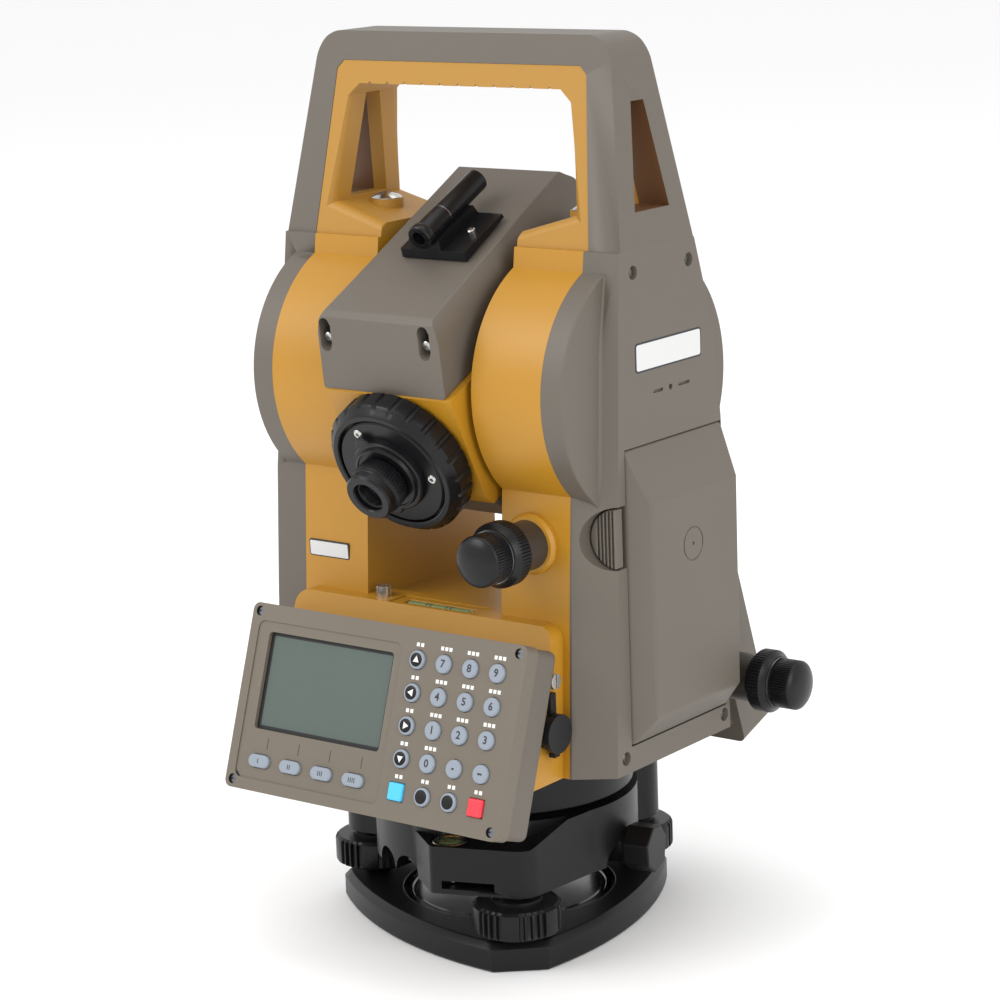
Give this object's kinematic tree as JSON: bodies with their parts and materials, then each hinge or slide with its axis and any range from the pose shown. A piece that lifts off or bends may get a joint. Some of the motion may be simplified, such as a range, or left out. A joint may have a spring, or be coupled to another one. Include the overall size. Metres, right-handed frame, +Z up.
{
  "type": "surveying total station",
  "caption": "Electronic theodolite with tilting telescope between two standards, keyboard and screen, carrying handle, side battery and a levelling tribrach base.",
  "frame": {"origin": "on the vertical standing axis, at the bottom face of the foot plate, centred on the tripod thread", "axes": "+Z up along the standing axis, -Y towards the keyboard side, +X towards the battery side; +X is parallel to the tilting axis"},
  "size_m": [0.1828, 0.1832, 0.345],
  "materials": {
    "black_cast": "satin black enamel on cast alloy",
    "steel": "turned and nickel-plated steel",
    "yellow_cast": "satin ochre enamel on cast alloy",
    "yellow_plastic": "satin moulded plastic",
    "grey_plastic": "fine-textured moulded plastic",
    "lcd_glass": "grey-green liquid crystal glass",
    "lens_glass": "coated lens",
    "rubber": "soft black rubber",
    "black_plastic": "satin black plastic",
    "key_plastic": "pale blue-grey silicone",
    "key_blue": "sky-blue silicone",
    "key_red": "red silicone"
  },
  "bodies": {
    "base": {"foot_plate": "black_cast", "spring_plate": "steel"},
    "foot_screw_a": {"foot_screw_a": "black_cast"},
    "foot_screw_b": {"foot_screw_b": "black_cast"},
    "foot_screw_c": {"foot_screw_c": "black_cast"},
    "tribrach": {"tribrach_body": "black_cast", "circular_level": "steel"},
    "clamp_lever": {"tribrach_lever": "black_cast"},
    "instrument_foot": {"instrument_foot": "black_cast"},
    "alidade": {"spindle": "steel", "alidade_frame": "yellow_cast", "left_cover": "grey_plastic", "right_cover": "grey_plastic", "handle_shell": "grey_plastic", "handle_grip": "yellow_plastic", "case_screws": "steel", "display_case": "grey_plastic", "display_bezel": "grey_plastic", "lcd_window": "lcd_glass", "rear_unit": "grey_plastic", "plate_level": "steel"},
    "port_cap": {"port_cap": "rubber"},
    "battery": {"battery": "grey_plastic"},
    "battery_latch": {"battery_latch": "grey_plastic"},
    "v_clamp": {"v_clamp_ring": "black_plastic"},
    "v_tangent": {"v_tangent_knob": "black_plastic"},
    "h_clamp": {"h_clamp_ring": "black_plastic"},
    "h_tangent": {"h_tangent_knob": "black_plastic"},
    "telescope": {"telescope_body": "yellow_cast", "telescope_top_cover": "grey_plastic", "telescope_bottom_cover": "grey_plastic", "collimator_sight": "black_plastic", "eyepiece_mount": "black_plastic", "objective_lens": "lens_glass"},
    "focus_ring": {"focus_ring": "black_plastic"},
    "eyepiece": {"eyepiece": "black_plastic"},
    "key_up": {"key_up": "key_plastic"},
    "key_left": {"key_left": "key_plastic"},
    "key_right": {"key_right": "key_plastic"},
    "key_down": {"key_down": "key_plastic"},
    "key_enter": {"key_enter": "key_blue"},
    "key_7": {"key_7": "key_plastic"},
    "key_8": {"key_8": "key_plastic"},
    "key_9": {"key_9": "key_plastic"},
    "key_4": {"key_4": "key_plastic"},
    "key_5": {"key_5": "key_plastic"},
    "key_6": {"key_6": "key_plastic"},
    "key_1": {"key_1": "key_plastic"},
    "key_2": {"key_2": "key_plastic"},
    "key_3": {"key_3": "key_plastic"},
    "key_0": {"key_0": "key_plastic"},
    "key_dot": {"key_dot": "key_plastic"},
    "key_minus": {"key_minus": "key_plastic"},
    "key_star": {"key_star": "black_plastic"},
    "key_escape": {"key_escape": "black_plastic"},
    "key_power": {"key_power": "key_red"},
    "key_f1": {"key_f1": "key_plastic"},
    "key_f2": {"key_f2": "key_plastic"},
    "key_f3": {"key_f3": "key_plastic"},
    "key_f4": {"key_f4": "key_plastic"}
  },
  "joints": [
    {"name": "alidade_turn", "type": "hinge", "parent": "instrument_foot", "child": "alidade", "pos_m": [0, 0, 0.075], "axis": [0, 0, 1], "continuous": true},
    {"name": "telescope_tilt", "type": "hinge", "parent": "alidade", "child": "telescope", "pos_m": [0, 0, 0.219], "axis": [1, 0, 0], "continuous": true},
    {"name": "tribrach_level", "type": "slide", "parent": "base", "child": "tribrach", "axis": [0, 0, 1], "range_m": [-0.0012, 0.004]},
    {"name": "instrument_lift", "type": "slide", "parent": "tribrach", "child": "instrument_foot", "axis": [0, 0, 1], "range_m": [0, 0.03]},
    {"name": "clamp_lever_turn", "type": "hinge", "parent": "tribrach", "child": "clamp_lever", "pos_m": [0.05416, 0.00955, 0.033], "axis": [0.9848, 0.1736, 0], "range_deg": [0, 180]},
    {"name": "battery_slide", "type": "slide", "parent": "alidade", "child": "battery", "axis": [1, 0, 0], "range_m": [0, 0.03]},
    {"name": "battery_latch_press", "type": "slide", "parent": "alidade", "child": "battery_latch", "axis": [0, 1, 0], "range_m": [0, 0.002], "stiffness_N_per_m": 400},
    {"name": "port_cap_open", "type": "hinge", "parent": "alidade", "child": "port_cap", "pos_m": [0.0612, -0.052, 0.113], "axis": [0, -1, 0], "range_deg": [0, 100]},
    {"name": "focus_turn", "type": "hinge", "parent": "telescope", "child": "focus_ring", "pos_m": [0, 0, 0.219], "axis": [0, 0.8988, 0.4384], "range_deg": [-160, 160]},
    {"name": "eyepiece_turn", "type": "hinge", "parent": "telescope", "child": "eyepiece", "pos_m": [0, 0, 0.219], "axis": [0, 0.8988, 0.4384], "range_deg": [-120, 120]},
    {"name": "v_clamp_turn", "type": "hinge", "parent": "alidade", "child": "v_clamp", "pos_m": [0.046, -0.058, 0.1624], "axis": [0, 1, 0], "range_deg": [0, 70]},
    {"name": "v_tangent_turn", "type": "hinge", "parent": "alidade", "child": "v_tangent", "pos_m": [0.046, -0.07, 0.1624], "axis": [0, 1, 0], "range_deg": [-1800, 1800]},
    {"name": "h_clamp_turn", "type": "hinge", "parent": "alidade", "child": "h_clamp", "pos_m": [0.088, 0.054, 0.093], "axis": [1, 0, 0], "range_deg": [0, 70]},
    {"name": "h_tangent_turn", "type": "hinge", "parent": "alidade", "child": "h_tangent", "pos_m": [0.1, 0.054, 0.093], "axis": [1, 0, 0], "range_deg": [-1800, 1800]},
    {"name": "foot_screw_a_turn", "type": "hinge", "parent": "base", "child": "foot_screw_a", "pos_m": [0.03792, -0.0452, 0.02], "axis": [0, 0, 1], "range_deg": [-440, 1450]},
    {"name": "foot_screw_b_turn", "type": "hinge", "parent": "base", "child": "foot_screw_b", "pos_m": [0.02018, 0.05544, 0.02], "axis": [0, 0, 1], "range_deg": [-440, 1450]},
    {"name": "foot_screw_c_turn", "type": "hinge", "parent": "base", "child": "foot_screw_c", "pos_m": [-0.0581, -0.01025, 0.02], "axis": [0, 0, 1], "range_deg": [-440, 1450]},
    {"name": "key_up_press", "type": "slide", "parent": "alidade", "child": "key_up", "axis": [0, 0.9455, -0.3256], "range_m": [0, 0.0008], "stiffness_N_per_m": 300},
    {"name": "key_left_press", "type": "slide", "parent": "alidade", "child": "key_left", "axis": [0, 0.9455, -0.3256], "range_m": [0, 0.0008], "stiffness_N_per_m": 300},
    {"name": "key_right_press", "type": "slide", "parent": "alidade", "child": "key_right", "axis": [0, 0.9455, -0.3256], "range_m": [0, 0.0008], "stiffness_N_per_m": 300},
    {"name": "key_down_press", "type": "slide", "parent": "alidade", "child": "key_down", "axis": [0, 0.9455, -0.3256], "range_m": [0, 0.0008], "stiffness_N_per_m": 300},
    {"name": "key_enter_press", "type": "slide", "parent": "alidade", "child": "key_enter", "axis": [0, 0.9455, -0.3256], "range_m": [0, 0.0008], "stiffness_N_per_m": 300},
    {"name": "key_7_press", "type": "slide", "parent": "alidade", "child": "key_7", "axis": [0, 0.9455, -0.3256], "range_m": [0, 0.0008], "stiffness_N_per_m": 300},
    {"name": "key_8_press", "type": "slide", "parent": "alidade", "child": "key_8", "axis": [0, 0.9455, -0.3256], "range_m": [0, 0.0008], "stiffness_N_per_m": 300},
    {"name": "key_9_press", "type": "slide", "parent": "alidade", "child": "key_9", "axis": [0, 0.9455, -0.3256], "range_m": [0, 0.0008], "stiffness_N_per_m": 300},
    {"name": "key_4_press", "type": "slide", "parent": "alidade", "child": "key_4", "axis": [0, 0.9455, -0.3256], "range_m": [0, 0.0008], "stiffness_N_per_m": 300},
    {"name": "key_5_press", "type": "slide", "parent": "alidade", "child": "key_5", "axis": [0, 0.9455, -0.3256], "range_m": [0, 0.0008], "stiffness_N_per_m": 300},
    {"name": "key_6_press", "type": "slide", "parent": "alidade", "child": "key_6", "axis": [0, 0.9455, -0.3256], "range_m": [0, 0.0008], "stiffness_N_per_m": 300},
    {"name": "key_1_press", "type": "slide", "parent": "alidade", "child": "key_1", "axis": [0, 0.9455, -0.3256], "range_m": [0, 0.0008], "stiffness_N_per_m": 300},
    {"name": "key_2_press", "type": "slide", "parent": "alidade", "child": "key_2", "axis": [0, 0.9455, -0.3256], "range_m": [0, 0.0008], "stiffness_N_per_m": 300},
    {"name": "key_3_press", "type": "slide", "parent": "alidade", "child": "key_3", "axis": [0, 0.9455, -0.3256], "range_m": [0, 0.0008], "stiffness_N_per_m": 300},
    {"name": "key_0_press", "type": "slide", "parent": "alidade", "child": "key_0", "axis": [0, 0.9455, -0.3256], "range_m": [0, 0.0008], "stiffness_N_per_m": 300},
    {"name": "key_dot_press", "type": "slide", "parent": "alidade", "child": "key_dot", "axis": [0, 0.9455, -0.3256], "range_m": [0, 0.0008], "stiffness_N_per_m": 300},
    {"name": "key_minus_press", "type": "slide", "parent": "alidade", "child": "key_minus", "axis": [0, 0.9455, -0.3256], "range_m": [0, 0.0008], "stiffness_N_per_m": 300},
    {"name": "key_star_press", "type": "slide", "parent": "alidade", "child": "key_star", "axis": [0, 0.9455, -0.3256], "range_m": [0, 0.0008], "stiffness_N_per_m": 300},
    {"name": "key_escape_press", "type": "slide", "parent": "alidade", "child": "key_escape", "axis": [0, 0.9455, -0.3256], "range_m": [0, 0.0008], "stiffness_N_per_m": 300},
    {"name": "key_power_press", "type": "slide", "parent": "alidade", "child": "key_power", "axis": [0, 0.9455, -0.3256], "range_m": [0, 0.0008], "stiffness_N_per_m": 300},
    {"name": "key_f1_press", "type": "slide", "parent": "alidade", "child": "key_f1", "axis": [0, 0.9455, -0.3256], "range_m": [0, 0.0008], "stiffness_N_per_m": 300},
    {"name": "key_f2_press", "type": "slide", "parent": "alidade", "child": "key_f2", "axis": [0, 0.9455, -0.3256], "range_m": [0, 0.0008], "stiffness_N_per_m": 300},
    {"name": "key_f3_press", "type": "slide", "parent": "alidade", "child": "key_f3", "axis": [0, 0.9455, -0.3256], "range_m": [0, 0.0008], "stiffness_N_per_m": 300},
    {"name": "key_f4_press", "type": "slide", "parent": "alidade", "child": "key_f4", "axis": [0, 0.9455, -0.3256], "range_m": [0, 0.0008], "stiffness_N_per_m": 300}
  ],
  "couplings": [
    {"joint": "foot_screw_a_turn", "follows": "tribrach_level", "rad_per_m": 6283.2},
    {"joint": "foot_screw_b_turn", "follows": "tribrach_level", "rad_per_m": 6283.2},
    {"joint": "foot_screw_c_turn", "follows": "tribrach_level", "rad_per_m": 6283.2}
  ]
}
